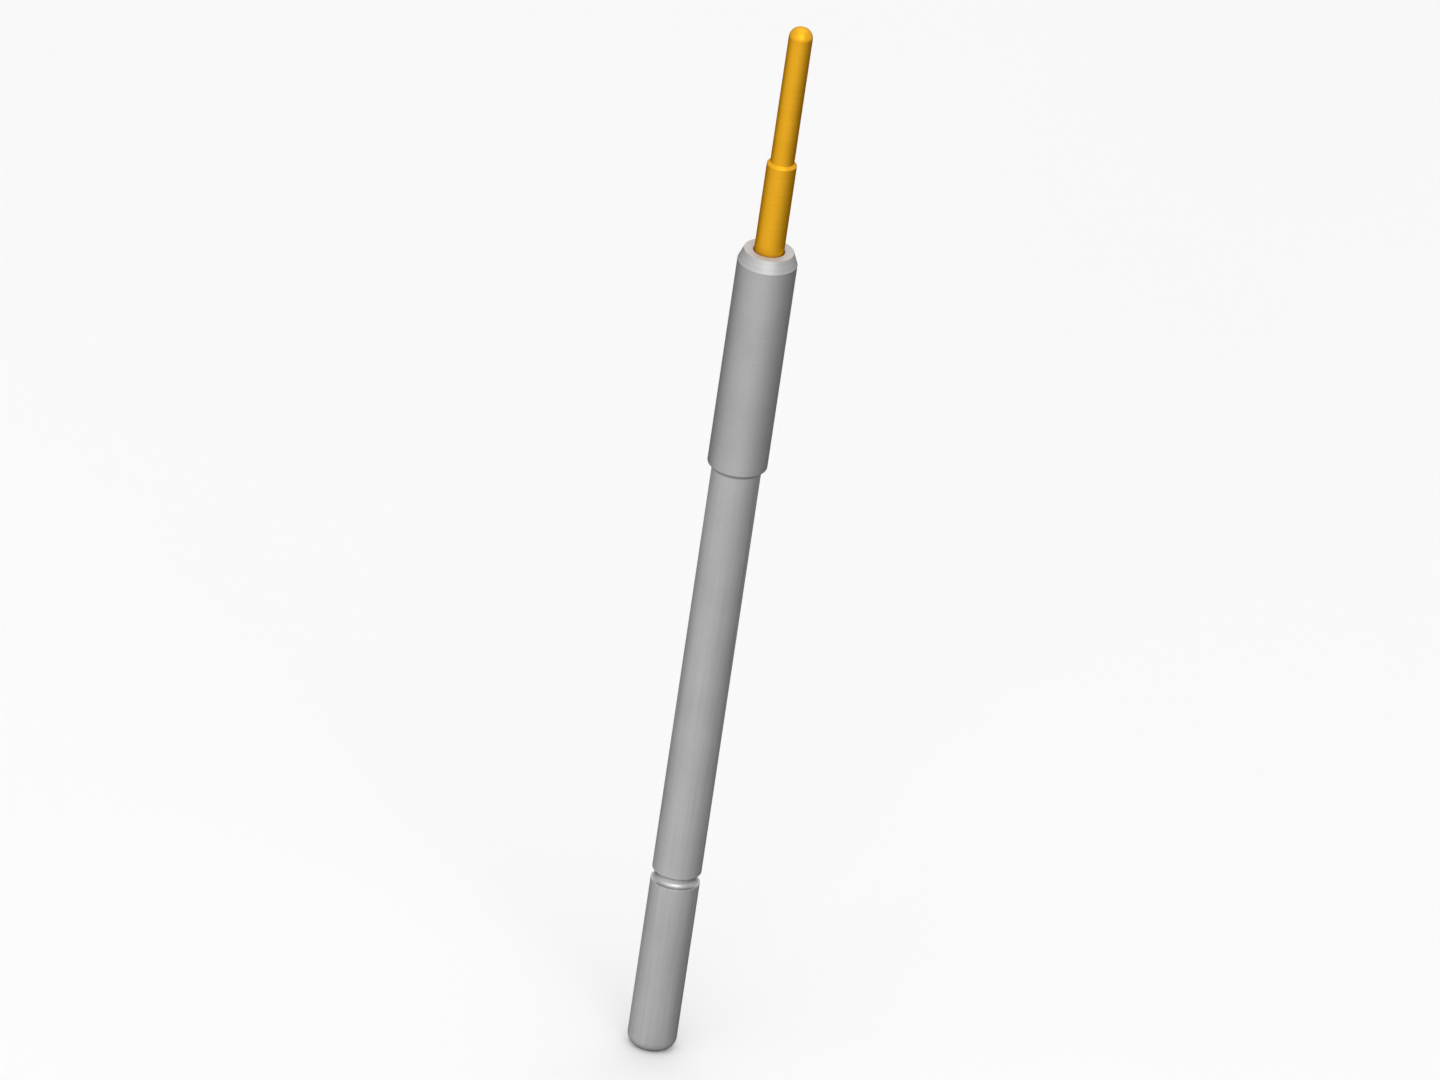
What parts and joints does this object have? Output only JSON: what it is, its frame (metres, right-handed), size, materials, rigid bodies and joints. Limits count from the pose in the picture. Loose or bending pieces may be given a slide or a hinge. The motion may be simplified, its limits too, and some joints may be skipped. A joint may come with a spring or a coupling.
{
  "type": "spring-loaded test probe",
  "caption": "Slim spring-loaded contact probe: a round-nosed gold plunger slides in a collared metal barrel with a rolled groove and a rounded rear end.",
  "frame": {"origin": "on the probe's axis, at the underside of the collar, where the probe seats on its receptacle", "axes": "+Z along the axis from the barrel's closed end towards the plunger's tip; X and Y are free, as the probe is turned about its axis"},
  "size_m": [0.002, 0.002, 0.0381],
  "materials": {
    "gold_plating": "satin",
    "nickel_silver": "satin",
    "spring_steel": "gloss"
  },
  "bodies": {
    "barrel": {"barrel": "nickel_silver", "collar": "nickel_silver", "spring": "spring_steel"},
    "plunger": {"plunger": "gold_plating"}
  },
  "joints": [
    {"name": "plunger_stroke", "type": "slide", "parent": "barrel", "child": "plunger", "axis": [0, 0, -1], "range_m": [0, 0.006], "stiffness_N_per_m": 320, "deforming": ["spring"]}
  ]
}
